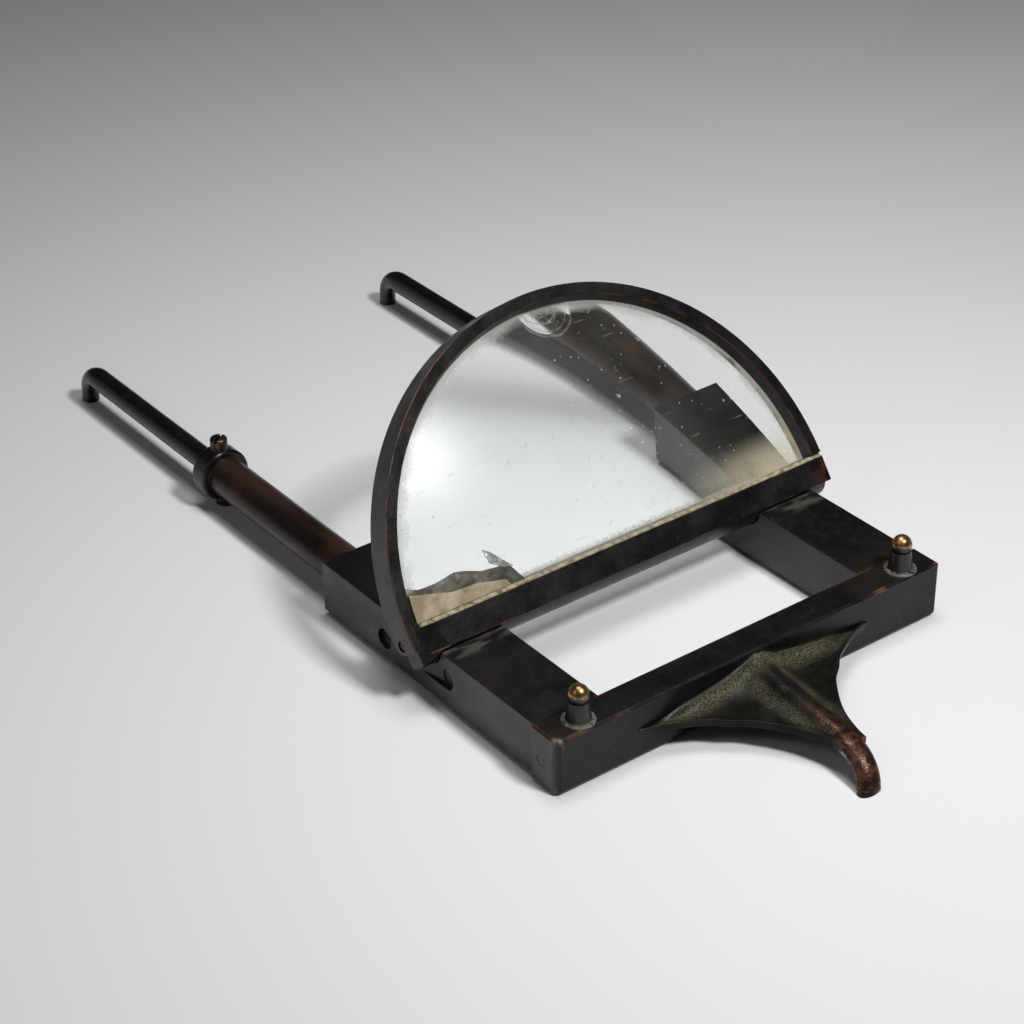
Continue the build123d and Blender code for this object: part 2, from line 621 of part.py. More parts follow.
with BuildPart() as lens_bar:
    with BuildSketch(frame_front):
        with Locations((0, LENS_BAR_TOP / 2)):
            Rectangle(2 * LENS_BAR_END, LENS_BAR_TOP)
    extrude(amount=-FRAME_DEPTH)
    with BuildSketch(frame_front):
        with Locations(((LENS_BAR_END + LENS_BAR_CAP_END) / 2, LENS_BAR_TOP / 2)):
            Rectangle(LENS_BAR_CAP_END - LENS_BAR_END, LENS_BAR_TOP)
    extrude(amount=-LENS_BAR_CAP_DEPTH)
    # round underside about the hinge, which turns in the rails' troughs
    with BuildSketch(frame_section.offset(-LENS_BAR_END)):
        with Locations((HINGE_D, HINGE_V)):
            Circle(KNUCKLE_R)
        with Locations((HINGE_D, HINGE_V + FAR / 2)):
            Rectangle(FAR, FAR, mode=Mode.SUBTRACT)
        with Locations((FRAME_DEPTH + FAR / 2, 0)):
            Rectangle(FAR, FAR, mode=Mode.SUBTRACT)
        with Locations((-FAR / 2, 0)):
            Rectangle(FAR, FAR, mode=Mode.SUBTRACT)
    extrude(amount=2 * LENS_BAR_END)
    # sloped lip along the front of the top face
    with BuildSketch(frame_section.offset(-FAR / 2)):
        with BuildLine():
            Polyline((0, LENS_BAR_TOP - LENS_BAR_LIP), (LENS_BAR_LIP, LENS_BAR_TOP), (0, LENS_BAR_TOP + 1),
                     (-1, LENS_BAR_TOP + 1), (0, LENS_BAR_TOP - LENS_BAR_LIP))
        make_face()
    extrude(amount=FAR, mode=Mode.SUBTRACT)
    # bevel at the left end
    with BuildSketch(Plane(origin=FOOT, x_dir=(1, 0, 0), z_dir=UP)):
        with BuildLine():
            Polyline(BEVEL_START, BEVEL_END, (BEVEL_END[0], -1), BEVEL_START)
        make_face()
    extrude(amount=LENS_BAR_TOP, both=True, mode=Mode.SUBTRACT)
    # three-sided facet on the corner of that bevel, running out at the top
    for v, size in ((-0.01, 1.0), (FACET_TOP, 0.02)):
        with BuildSketch(Plane(origin=FOOT + UP * v, x_dir=(1, 0, 0), z_dir=UP)):
            with BuildLine():
                facet = [(BEVEL_START[0] + size * x, size * y) for x, y in FACET_SHAPE]
                Polyline(*facet, close=True)
            make_face()
    loft(ruled=True, mode=Mode.SUBTRACT)
    # slots for the hinge lugs, open below and behind, with their ends as the stops
    stem_now = radians(LUG_STEM_DEG - (90 - LEAN_DEG))
    stem_down = radians(LUG_STEM_DEG - (90 - LEAN_DEG) - HINGE_SWING_DEG)
    for side in (-1, 1):
        with BuildSketch(frame_section.offset(side * SLOT_INNER_X)):
            with Locations((HINGE_D, HINGE_V)):
                Circle(SLOT_R)
            with BuildLine():
                now = (-sin(stem_now), cos(stem_now))
                down = (-sin(stem_down), cos(stem_down))
                now_edge = (HINGE_D - SLOT_STEM_HALF * now[1], HINGE_V + SLOT_STEM_HALF * now[0])
                down_edge = (HINGE_D + SLOT_STEM_HALF * down[1], HINGE_V - SLOT_STEM_HALF * down[0])
                now_far = (now_edge[0] + SLOT_REACH * now[0], now_edge[1] + SLOT_REACH * now[1])
                down_far = (down_edge[0] + SLOT_REACH * down[0], down_edge[1] + SLOT_REACH * down[1])
                Polyline(now_edge, now_far, down_far, down_edge, now_edge)
            make_face()
        extrude(amount=side * (SLOT_OUTER_X - SLOT_INNER_X), mode=Mode.SUBTRACT)
        with BuildSketch(frame_section.offset(side * PIN_INNER_X)):
            with Locations((HINGE_D, HINGE_V)):
                Circle(PIN_R)
        extrude(amount=side * (LENS_BAR_END - PIN_INNER_X), mode=Mode.SUBTRACT)
save(lens_bar.part, "lens_bar")

with BuildPart() as hinge_pins:
    for side in (-1, 1):
        with BuildSketch(frame_section.offset(side * PIN_INNER_X)):
            with Locations((HINGE_D, HINGE_V)):
                Circle(PIN_R)
        extrude(amount=side * (PIN_OUTER_X - PIN_INNER_X))
save(hinge_pins.part, "hinge_pins")

with BuildPart() as hinge_washers:
    for side in (-1, 1):
        for x, turn in ((SLOT_INNER_X, 1), (SLOT_OUTER_X, -1)):
            with BuildSketch(frame_section.offset(side * x)):
                with Locations((HINGE_D, HINGE_V)):
                    Circle(WASHER_R)
                    Circle(PIN_R, mode=Mode.SUBTRACT)
            extrude(amount=side * turn * WASHER_THICKNESS)
save(hinge_washers.part, "hinge_washers")

with BuildPart() as lens_retainer:
    with BuildSketch(ring_section):
        with Locations(((RETAINER_R + GROOVE_R) / 2, (GROOVE_FRONT + GROOVE_BACK) / 2)):
            Rectangle(GROOVE_R - RETAINER_R, GROOVE_BACK - GROOVE_FRONT)
    revolve(axis=ring_axis)
    with BuildSketch(frame_front.offset(5)):
        with Locations((0, LENS_BAR_TOP - FAR / 2)):
            Rectangle(FAR, FAR)
    extrude(amount=-20, mode=Mode.SUBTRACT)
save(lens_retainer.part, "lens_retainer")

with BuildPart() as lens:
    with BuildSketch(ring_section):
        with BuildLine():
            half = LENS_EDGE_R / 2
            front_edge = (LENS_EDGE_R, front_face_d(LENS_EDGE_R))
            ThreePointArc((0, front_face_d(0)), (half, front_face_d(half)), front_edge)
            Line(front_edge, (LENS_EDGE_R, LENS_EDGE_BACK))
            ThreePointArc((LENS_EDGE_R, LENS_EDGE_BACK), (half, back_face_d(half)), (0, back_face_d(0)))
            Line((0, back_face_d(0)), (0, front_face_d(0)))
        make_face()
    revolve(axis=ring_axis)
    with BuildSketch(frame_front.offset(20)):
        with Locations((0, LENS_BAR_TOP - FAR / 2)):
            Rectangle(FAR, FAR)
    extrude(amount=-40, mode=Mode.SUBTRACT)
    # shell-shaped chip at the top edge
    chip_rise = CHIP_CENTRE_V - RING_CENTRE_V
    chip_r = sqrt(CHIP_CENTRE_U ** 2 + chip_rise ** 2)
    scoop_r = CHIP_RADIUS ** 2 / (2 * CHIP_DEPTH) + CHIP_DEPTH / 2
    lift = (scoop_r - CHIP_DEPTH) / LENS_R
    chip_face = Vector(CHIP_CENTRE_U, 0, 0) + UP * chip_rise + BACK * front_face_d(chip_r)
    scoop_centre = RING_CENTRE + chip_face + (chip_face - BACK * front_centre_d) * lift
    scoop_plane = Plane(origin=scoop_centre, x_dir=(1, 0, 0), z_dir=UP)
    with BuildSketch(scoop_plane):
        Circle(scoop_r)
        with Locations((-FAR / 2, 0)):
            Rectangle(FAR, FAR, mode=Mode.SUBTRACT)
    revolve(axis=Axis(scoop_centre, BACK), mode=Mode.SUBTRACT)
    # broken lower left corner, sloping in from the front face
    with BuildSketch(frame_front.offset(-FRACTURE_DEPTH)):
        with BuildLine():
            Polyline(*FRACTURE_INNER, close=True)
        make_face()
    with BuildSketch(frame_front.offset(-FRACTURE_FRONT)):
        with BuildLine():
            Polyline(*FRACTURE_OUTER, close=True)
        make_face()
    loft(ruled=True, mode=Mode.SUBTRACT)
save(lens.part, "lens")

with BuildPart() as lens_putty:
    with BuildSketch(frame_front.offset(-PUTTY_FRONT)):
        with BuildLine():
            Polyline(*FRACTURE_INNER, close=True)
        make_face()
        with Locations((0, LENS_BAR_TOP - FAR / 2)):
            Rectangle(FAR, FAR, mode=Mode.SUBTRACT)
    extrude(amount=-(FRACTURE_DEPTH - PUTTY_FRONT))
    with BuildSketch(frame_front):
        with Locations((0, RING_CENTRE_V)):
            Circle(FAR)
            Circle(RIM_LIP_R - 0.05, mode=Mode.SUBTRACT)
    extrude(amount=-FRAME_DEPTH, mode=Mode.SUBTRACT)
save(lens_putty.part, "lens_putty")
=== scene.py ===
import bpy
import math
from mathutils import Matrix, Vector


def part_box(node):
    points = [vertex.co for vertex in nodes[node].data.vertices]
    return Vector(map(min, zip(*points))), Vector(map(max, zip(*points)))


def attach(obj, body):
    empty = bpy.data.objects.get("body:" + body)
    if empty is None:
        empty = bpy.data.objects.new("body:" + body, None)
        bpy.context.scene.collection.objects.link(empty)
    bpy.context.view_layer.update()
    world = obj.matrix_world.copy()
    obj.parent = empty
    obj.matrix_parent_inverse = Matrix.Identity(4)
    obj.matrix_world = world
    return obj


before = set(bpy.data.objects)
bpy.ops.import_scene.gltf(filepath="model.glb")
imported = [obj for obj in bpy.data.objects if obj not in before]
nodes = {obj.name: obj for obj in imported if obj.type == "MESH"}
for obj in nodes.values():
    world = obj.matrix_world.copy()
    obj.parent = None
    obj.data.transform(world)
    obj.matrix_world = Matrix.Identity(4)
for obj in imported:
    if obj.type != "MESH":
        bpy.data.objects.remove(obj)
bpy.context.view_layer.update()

scene = bpy.context.scene

# lens frame: its foot, its lean from upright and the centre of its ring, as the CAD places them
LEAN = math.radians(36.42)
UP = Vector((0, math.sin(LEAN), math.cos(LEAN)))
BACK = Vector((0, math.cos(LEAN), -math.sin(LEAN)))
FOOT = Vector((0, 0.047475, 0.017053))
RING_CENTRE = FOOT + UP * 0.0064
LENS_EDGE_R = 0.06527
GLASS_IOR = 1.52
CHIP_POINT = FOOT + Vector((0.0042, 0, 0)) + UP * 0.0714

# crossbar: its top, its left end, and how wide the web is where it leaves the bar
BAR_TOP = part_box("left_rail")[1][2]
BAR_LEFT_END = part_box("front_crossbar")[0][0]
WEB_HALF = 0.0385
FINGER_START = -0.031

PAINT_SPECULAR = 0.32


# ---------------------------------------------------------------- camera, light and floor
def make_camera(position, aim, roll_deg, lens_mm):
    """Camera at a place, looking at another, turned about its own line of sight."""
    data = bpy.data.cameras.new("camera")
    data.lens = lens_mm
    data.sensor_width = 36.0
    data.clip_start = 0.01
    data.clip_end = 20.0
    camera = bpy.data.objects.new("camera", data)
    scene.collection.objects.link(camera)
    ahead = (aim - position).normalized()
    level = ahead.cross(Vector((0, 0, 1))).normalized()
    above = level.cross(ahead)
    roll = math.radians(roll_deg)
    right = math.cos(roll) * level + math.sin(roll) * above
    top = -math.sin(roll) * level + math.cos(roll) * above
    camera.matrix_world = Matrix((
        (right.x, top.x, -ahead.x, position.x),
        (right.y, top.y, -ahead.y, position.y),
        (right.z, top.z, -ahead.z, position.z),
        (0, 0, 0, 1),
    ))
    scene.camera = camera


def area_light(name, position, aim, size, power, spread_deg):
    """Rectangular lamp that shines from a place towards another."""
    data = bpy.data.lights.new(name, "AREA")
    data.shape = "RECTANGLE"
    data.size, data.size_y = size
    data.energy = power
    data.spread = math.radians(spread_deg)
    light = bpy.data.objects.new(name, data)
    scene.collection.objects.link(light)
    light.location = position
    light.rotation_euler = (Vector(aim) - Vector(position)).to_track_quat("-Z", "Y").to_euler()


def make_world(color, strength):
    """Faint even light from all round."""
    world = bpy.data.worlds.new("studio")
    scene.world = world
    world.use_nodes = True
    background = world.node_tree.nodes["Background"]
    background.inputs["Color"].default_value = color
    background.inputs["Strength"].default_value = strength


scene.view_settings.view_transform = "Standard"
make_camera(
    position=Vector((-0.36625, -0.38727, 0.38582)),
    aim=Vector((-0.014059, 0.081919, 0.021837)),
    roll_deg=-0.74,
    lens_mm=91.39,
)
make_world(color=(0.80, 0.84, 0.90, 1), strength=0.05)
area_light("key", (0.11, -0.50, 0.85), (0.02, 0.07, 0), (0.16, 0.16), power=1.45, spread_deg=82)
area_light("overhead", (0.02, 0.10, 0.75), (0.035, -0.03, 0), (0.28, 0.28), power=0.42, spread_deg=80)
area_light("left", (-0.75, 0.0, 0.70), (-0.02, 0.02, 0), (0.30, 0.30), power=0.22, spread_deg=120)


# ---------------------------------------------------------------- material helpers
class Shader:
    """A Principled material and short ways to add nodes to it."""

    def __init__(self, name):
        self.material = bpy.data.materials.new(name)
        self.material.use_nodes = True
        self.tree = self.material.node_tree
        self.bsdf = self.tree.nodes["Principled BSDF"]
        self.out = self.tree.nodes["Material Output"]
        self.coords = self.node("ShaderNodeTexCoord").outputs["Object"]
        self.geometry = self.node("ShaderNodeNewGeometry")

    def node(self, kind, **props):
        made = self.tree.nodes.new(kind)
        for key, value in props.items():
            setattr(made, key, value)
        return made

    def feed(self, socket, value):
        if isinstance(value, bpy.types.NodeSocket):
            self.tree.links.new(value, socket)
        else:
            socket.default_value = value

    def math(self, operation, a, b=0.0):
        made = self.node("ShaderNodeMath", operation=operation)
        self.feed(made.inputs[0], a)
        self.feed(made.inputs[1], b)
        return made.outputs[0]

    def rest(self, mask):
        """Everything that a mask leaves out."""
        return self.math("SUBTRACT", 1.0, mask)

    def wobble(self, noise, spread):
        """A noise turned into a shift to both sides of zero, in metres."""
        return self.times(self.math("SUBTRACT", noise, 0.5), spread)

    def times(self, *factors):
        """The product of some values."""
        product = factors[0]
        for factor in factors[1:]:
            product = self.math("MULTIPLY", product, factor)
        return product

    def most(self, *values):
        """The highest of some values."""
        highest = values[0]
        for value in values[1:]:
            highest = self.math("MAXIMUM", highest, value)
        return highest

    def step(self, value, low, high, to_low=0.0, to_high=1.0):
        """Smooth step from to_low at low to to_high at high."""
        made = self.node("ShaderNodeMapRange", interpolation_type="SMOOTHSTEP")
        self.feed(made.inputs["Value"], value)
        made.inputs["From Min"].default_value = low
        made.inputs["From Max"].default_value = high
        made.inputs["To Min"].default_value = to_low
        made.inputs["To Max"].default_value = to_high
        return made.outputs["Result"]

    def noise(self, scale, detail=3.0, stretch=None, offset=0.0):
        """Noise about 0.5, with an offset so that two of the same scale differ."""
        made = self.node("ShaderNodeTexNoise")
        source = self.coords
        if stretch or offset:
            mapping = self.node("ShaderNodeMapping")
            mapping.inputs["Location"].default_value = (offset, offset, offset)
            mapping.inputs["Scale"].default_value = stretch or (1, 1, 1)
            self.feed(mapping.inputs["Vector"], source)
            source = mapping.outputs["Vector"]
        self.feed(made.inputs["Vector"], source)
        made.inputs["Scale"].default_value = scale
        made.inputs["Detail"].default_value = detail
        return made.outputs["Fac"]

    def mix(self, factor, a, b):
        """Mix of two colors."""
        made = self.node("ShaderNodeMix", data_type="RGBA")
        self.feed(made.inputs["Factor"], factor)
        self.feed(made.inputs["A"], a)
        self.feed(made.inputs["B"], b)
        return made.outputs["Result"]

    def blend(self, factor, a, b):
        """Mix of two plain numbers."""
        made = self.node("ShaderNodeMix", data_type="FLOAT")
        self.feed(made.inputs["Factor"], factor)
        self.feed(made.inputs["A"], a)
        self.feed(made.inputs["B"], b)
        return made.outputs["Result"]

    def dot(self, vector, axis):
        made = self.node("ShaderNodeVectorMath", operation="DOT_PRODUCT")
        self.feed(made.inputs[0], vector)
        self.feed(made.inputs[1], axis)
        return made.outputs["Value"]

    def axis(self, which):
        """One coordinate in the shared frame: 0 for x, 1 for y, 2 for z."""
        made = self.node("ShaderNodeSeparateXYZ")
        self.feed(made.inputs[0], self.coords)
        return made.outputs[which]

    def from_point(self, point):
        made = self.node("ShaderNodeVectorMath", operation="SUBTRACT")
        self.feed(made.inputs[0], self.coords)
        made.inputs[1].default_value = point
        return made.outputs["Vector"]

    def facing_up(self, low=0.3, high=0.9):
        """Mask of what faces up, by the upward part of its normal."""
        return self.step(self.dot(self.geometry.outputs["Normal"], (0, 0, 1)), low, high)

    def edges(self, radius, low=0.004, high=0.06):
        """Mask of the convex and concave edges within a radius."""
        bevel = self.node("ShaderNodeBevel", samples=6)
        bevel.inputs["Radius"].default_value = radius
        along = self.dot(bevel.outputs["Normal"], self.geometry.outputs["Normal"])
        return self.step(self.rest(along), low, high)

    def hollows(self, distance, low=0.25, high=0.75):
        """Mask of the surface that its own surroundings close in."""
        occlusion = self.node("ShaderNodeAmbientOcclusion", samples=6)
        occlusion.inputs["Distance"].default_value = distance
        return self.step(self.rest(occlusion.outputs["AO"]), low, high)

    def specks(self, scale, size, share):
        """Small round dots in a share of the cells."""
        cells = self.node("ShaderNodeTexVoronoi")
        self.feed(cells.inputs["Vector"], self.coords)
        cells.inputs["Scale"].default_value = scale
        near = self.step(cells.outputs["Distance"], size, size * 0.6)
        chosen = self.math("GREATER_THAN", self.dot(cells.outputs["Color"], (1, 0, 0)), 1 - share)
        return self.math("MULTIPLY", near, chosen)

    def band(self, value, middle, half_width):
        """One inside a narrow band of a value, zero outside."""
        off = self.math("ABSOLUTE", self.math("SUBTRACT", value, middle))
        return self.step(off, half_width, half_width * 0.4)

    def mix_shaders(self, factor, first, second):
        made = self.node("ShaderNodeMixShader")
        self.feed(made.inputs[0], factor)
        self.feed(made.inputs[1], first.outputs[0])
        self.feed(made.inputs[2], second.outputs[0])
        return made

    def bump(self, *layers, rounding=0.0):
        """Height layers given as (value, distance) pairs, over an optional rounding of the edges."""
        normal = None
        if rounding:
            bevel = self.node("ShaderNodeBevel", samples=6)
            bevel.inputs["Radius"].default_value = rounding
            normal = bevel.outputs["Normal"]
        for value, distance in layers:
            made = self.node("ShaderNodeBump")
            made.inputs["Strength"].default_value = 1.0
            made.inputs["Distance"].default_value = distance
            self.feed(made.inputs["Height"], value)
            if normal is not None:
                self.feed(made.inputs["Normal"], normal)
            normal = made.outputs["Normal"]
        self.feed(self.bsdf.inputs["Normal"], normal)

    def surface(self, color, rough, metal=0.0):
        self.feed(self.bsdf.inputs["Base Color"], color)
        self.feed(self.bsdf.inputs["Roughness"], rough)
        self.feed(self.bsdf.inputs["Metallic"], metal)


BLACK = (0.0038, 0.0038, 0.0041, 1)
FADED_BLACK = (0.020, 0.019, 0.019, 1)
# painted sheen for the sides that face left
PAINTED_SIDE_SHEEN = (0.052, 0.052, 0.054, 1)
BROWN_BLACK = (0.011, 0.0085, 0.0072, 1)
COPPER = (0.34, 0.125, 0.055, 1)
DARK_COPPER = (0.13, 0.042, 0.022, 1)
PRIMER_RED = (0.11, 0.020, 0.019, 1)
BALL_BRASS = (0.56, 0.30, 0.13, 1)
OLD_BRASS = (0.20, 0.15, 0.07, 1)
FINGER_BROWN = (0.034, 0.016, 0.012, 1)
FINGER_COPPER = (0.16, 0.062, 0.038, 1)
GREEN_DUST = (0.195, 0.188, 0.112, 1)
PALE_DUST = (0.36, 0.35, 0.30, 1)
GREY_POWDER = (0.70, 0.70, 0.64, 1)
BROWN_POWDER = (0.34, 0.31, 0.24, 1)
CREAM_POWDER = (0.74, 0.66, 0.48, 1)
CREAM = (0.52, 0.45, 0.30, 1)
BAND_DUST = (0.085, 0.095, 0.075, 1)
RING_DUST = (0.10, 0.11, 0.08, 1)
TUBE_DUST = (0.12, 0.12, 0.085, 1)
WHITE_SPECK = (0.75, 0.75, 0.72, 1)
DARK_PATINA = (0.023, 0.017, 0.015, 1)
BROWN_PATINA = (0.064, 0.034, 0.023, 1)
RED_PATINA = (0.085, 0.040, 0.022, 1)
CONE_BROWN = (0.030, 0.024, 0.020, 1)
SCREW_BRASS = (0.085, 0.060, 0.045, 1)
SCREW_BROWN = (0.020, 0.015, 0.013, 1)
PLAIN_BRASS = (0.30, 0.20, 0.09, 1)
PLAIN_BROWN = (0.12, 0.075, 0.035, 1)
STEEL = (0.36, 0.35, 0.34, 1)
STEEL_STAIN = (0.16, 0.10, 0.06, 1)
DARK_PUTTY = (0.27, 0.21, 0.135, 1)
PALE_PUTTY = (0.45, 0.37, 0.25, 1)
PUTTY_STAIN = (0.22, 0.15, 0.08, 1)
CLEAR_GLASS = (0.965, 0.975, 0.965, 1)
DARK_FRACTURE = (0.15, 0.15, 0.125, 1)
PALE_FRACTURE = (0.34, 0.335, 0.28, 1)
DARK_FLAKE = (0.30, 0.31, 0.27, 1)
PALE_FLAKE = (0.62, 0.63, 0.58, 1)
FAINT_VEIL = (0.99, 0.99, 0.99, 1)
GREY_VEIL = (0.87, 0.88, 0.88, 1)
FLOOR_SHADE = (0.80, 0.805, 0.82, 1)
FLOOR_WHITE = (0.82, 0.825, 0.835, 1)


def painted(name, edge_radius=0.0006, edge_wear=0.8, dust=0.4, shine=(0.26, 0.42), grain=0.00005):
    """Black paint over bronze: worn edges, dust in the hollows, specks, and returns the parts to build on."""
    s = Shader(name)
    broad = s.noise(45, 4)
    fine = s.noise(420, 4, offset=3.1)
    color = s.mix(s.step(broad, 0.42, 0.68), BLACK, BROWN_BLACK)
    color = s.mix(s.times(s.step(fine, 0.50, 0.72), 0.35), color, FADED_BLACK)
    # copper shows on the outer edges only
    patchy = s.step(s.noise(160, 5, offset=7.7), 0.44, 0.60)
    inner_corner = s.hollows(0.0012, 0.20, 0.50)
    edge = s.times(s.edges(edge_radius), patchy, edge_wear, s.rest(inner_corner))
    worn = s.mix(s.step(s.noise(90, 2, offset=1.3), 0.42, 0.60), DARK_COPPER, COPPER)
    color = s.mix(edge, color, worn)
    # dust and specks lie on what faces up
    crumbs = s.step(s.noise(700, 4), 0.35, 0.60)
    dust_mask = s.times(s.hollows(0.004, 0.30, 0.80), s.facing_up(), crumbs, dust)
    color = s.mix(dust_mask, color, PALE_DUST)
    speck = s.times(s.specks(230, 0.10, 0.05), s.facing_up())
    color = s.mix(speck, color, WHITE_SPECK)
    # painted sheen: the sides that face left are lightened grey to stand in for the lit floor and left lamp
    # they reflect
    left_sheen_mask = s.times(s.step(s.dot(s.geometry.outputs["Normal"], (-1, 0, 0)), 0.60, 0.95), 0.85)
    color = s.mix(left_sheen_mask, color, s.mix(edge, PAINTED_SIDE_SHEEN, worn))
    rough = s.step(s.noise(130, 4, offset=5.0), 0.3, 0.7, *shine)
    rough = s.math("MAXIMUM", rough, s.times(s.most(dust_mask, speck), 0.9))
    s.bsdf.inputs["Specular IOR Level"].default_value = PAINT_SPECULAR
    heights = [(s.noise(1500, 3), grain), (s.noise(260, 3), 2 * grain)]
    return s, color, rough, edge, heights


# ---------------------------------------------------------------- materials
def primer_line(s, y, z):
    """Mask and color of the red primer along the bar's top front edge."""
    front_edge = s.step(y, 0.0016, 0.0006)
    top_edge = s.step(z, BAR_TOP - 0.0012, BAR_TOP - 0.0003)
    primer = s.mix(s.step(s.noise(110, 4, offset=2.2), 0.36, 0.52), BROWN_BLACK, PRIMER_RED)
    return s.times(front_edge, top_edge), primer


def corner_wear(s, x, y):
    """Mask and color of the rubbed patches down the bar's left front corner."""
    left_edge = s.step(x, BAR_LEFT_END + 0.0028, BAR_LEFT_END + 0.0008)
    front_edge = s.step(y, 0.0030, 0.0008)
    patches = s.step(s.noise(200, 5, stretch=(1, 1, 0.4), offset=4.0), 0.44, 0.58)
    rubbed = s.mix(s.noise(260, 3), DARK_COPPER, PALE_DUST)
    return s.times(left_edge, front_edge, patches, 0.85), rubbed


def kept_paint(s, aside, y, z):
    """Mask and color of the web and the face behind it, which keep their paint."""
    beside_web = s.step(aside, WEB_HALF + 0.003, WEB_HALF + 0.001)
    below_top = s.step(z, BAR_TOP - 0.0008, BAR_TOP - 0.0014)
    up_to_face = s.step(y, 0.0010, 0.0006)
    behind_finger = s.step(y, FINGER_START - 0.005, FINGER_START + 0.001)
    plain = s.mix(s.step(s.noise(120, 4, offset=5.5), 0.42, 0.66), BLACK, BROWN_BLACK)
    return s.times(beside_web, below_top, up_to_face, behind_finger), plain


def web_dust(s, aside, y, on_web):
    """Mask of the dust where the web meets the bar's face and along both flanks of the rib."""
    near_bar = s.times(s.step(y, -0.0062, -0.0012), s.step(aside, 0.034, 0.012, 0.45, 1.0))
    off_crest = s.step(aside, 0.0022, 0.0042)
    near_rib = s.step(aside, 0.0085, 0.0045)
    behind_finger = s.step(y, FINGER_START - 0.002, FINGER_START + 0.011)
    flank = s.times(off_crest, near_rib, behind_finger)
    thick = s.most(s.times(near_bar, 0.74), s.times(flank, 0.46), 0.05)
    grit = s.step(s.noise(3000, 2, offset=9.0), 0.40, 0.62, 0.10, 0.85)
    clouds = s.step(s.noise(190, 4), 0.28, 0.55, 0.55, 1.0)
    return s.times(thick, on_web, s.facing_up(0.10, 0.60), grit, clouds)


def handling_wear(s, aside, y):
    """Mask and color of the rib's crest and the finger, worn by hands."""
    towards_finger = s.step(y, -0.014, FINGER_START - 0.003)
    crest = s.step(aside, 0.0040, 0.0014)
    finger = s.step(y, FINGER_START, FINGER_START - 0.006)
    handled = s.most(s.times(towards_finger, crest), finger)
    patches = s.step(s.noise(170, 5, offset=6.0), 0.34, 0.60)
    handled = s.times(handled, s.step(patches, 0.0, 1.0, 0.35, 1.0))
    skin = s.mix(s.step(s.noise(520, 4, offset=8.0), 0.42, 0.66), FINGER_BROWN, FINGER_COPPER)
    return handled, skin


def make_crossbar_paint():
    """Paint of the crossbar: copper and red along its corners, dusty web, finger worn to copper."""
    s, color, rough, edge, heights = painted("crossbar_paint", 0.0009, 1.0, 0.5)
    x, y, z = s.axis(0), s.axis(1), s.axis(2)
    aside = s.math("ABSOLUTE", x)
    on_web = s.times(s.step(y, -0.0002, -0.0007), s.step(aside, WEB_HALF, WEB_HALF - 0.0075))
    line, primer = primer_line(s, y, z)
    color = s.mix(line, color, primer)
    corner, rubbed = corner_wear(s, x, y)
    color = s.mix(corner, color, rubbed)
    kept, plain = kept_paint(s, aside, y, z)
    color = s.mix(kept, color, plain)
    dust = web_dust(s, aside, y, on_web)
    color = s.mix(dust, color, GREEN_DUST)
    handled, skin = handling_wear(s, aside, y)
    color = s.mix(handled, color, skin)
    unpainted = s.times(edge, s.rest(s.most(kept, line)))
    metal = s.math("MAXIMUM", s.times(unpainted, 0.6), s.times(handled, 0.65))
    rough = s.blend(handled, rough, s.step(s.noise(800, 3), 0.3, 0.7, 0.22, 0.42))
    s.surface(color, s.math("MAXIMUM", rough, s.times(dust, 0.9)), metal)
    # the front face is duller than the rest, and the web duller again
    dull = s.times(s.step(y, 0.0004, 0.0), s.rest(handled))
    s.feed(s.bsdf.inputs["Specular IOR Level"], s.blend(dull, PAINT_SPECULAR, s.blend(on_web, 0.22, 0.10)))
    cast = s.times(s.step(y, 0.0, -0.002), s.noise(1700, 2, offset=2.0))
    s.bump(*heights, (cast, 0.00009), rounding=0.0004)
    return s.material


def make_rail_paint():
    """Paint of the rails, with a dusty band in front of the lens bar."""
    s, color, rough, edge, heights = painted("rail_paint", 0.0005, 0.55, 0.45)
    y = s.axis(1)
    band_front = 0.0405
    band_back = 0.0490
    band = s.times(s.step(y, band_front, band_front + 0.0035), s.step(y, band_back, band_back - 0.0025))
    streaks = s.step(s.noise(240, 5, stretch=(0.5, 1.6, 1), offset=1.0), 0.42, 0.62)
    band = s.times(band, s.facing_up(0.8, 0.95), streaks, 0.65)
    color = s.mix(band, color, BAND_DUST)
    s.surface(color, rough, s.times(edge, 0.6))
    s.bump(*heights, rounding=0.0003)
    return s.material


def make_rim_paint():
    """Paint of the lens rim: rubbed to copper along its front outer edge."""
    s, color, rough, edge, heights = painted("rim_paint", 0.0006, 1.0, 0.3)
    place = s.from_point(tuple(RING_CENTRE))
    depth = s.dot(place, tuple(BACK))
    front = s.step(depth, 0.0016, 0.0003)
    rubbed = s.times(edge, s.step(front, 0.0, 1.0, 0.45, 1.0))
    color = s.mix(rubbed, color, DARK_COPPER)
    s.surface(color, rough, s.times(edge, 0.7))
    s.bump(*heights, rounding=0.00035)
    return s.material


def make_bar_paint():
    """Paint of the lens bar: a cream line of dust along its lip, and its right end rubbed."""
    s, color, rough, edge, heights = painted("bar_paint", 0.0005, 0.8, 0.5)
    place = s.from_point(tuple(FOOT))
    height = s.dot(place, tuple(UP))
    depth = s.dot(place, tuple(BACK))
    lip_low = 0.0070
    lip_high = 0.00795
    fade = 0.0002
    above_low = s.step(height, lip_low - fade, lip_low + fade)
    below_high = s.step(height, lip_high + fade, lip_high - fade)
    lip = s.times(above_low, below_high, s.step(depth, 0.0016, 0.0011))
    crumbs = s.step(s.noise(480, 5, offset=3.0), 0.30, 0.62, 0.25, 1.0)
    color = s.mix(s.times(lip, crumbs, 0.85), color, CREAM)
    end_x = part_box("lens_bar")[1][0]
    end = s.times(s.step(s.axis(0), end_x - 0.009, end_x - 0.001), s.step(s.noise(300, 4), 0.40, 0.60))
    color = s.mix(s.times(end, 0.25), color, DARK_COPPER)
    s.surface(color, s.math("MAXIMUM", rough, s.times(lip, 0.8)), s.times(edge, 0.6))
    s.bump(*heights, rounding=0.0003)
    return s.material


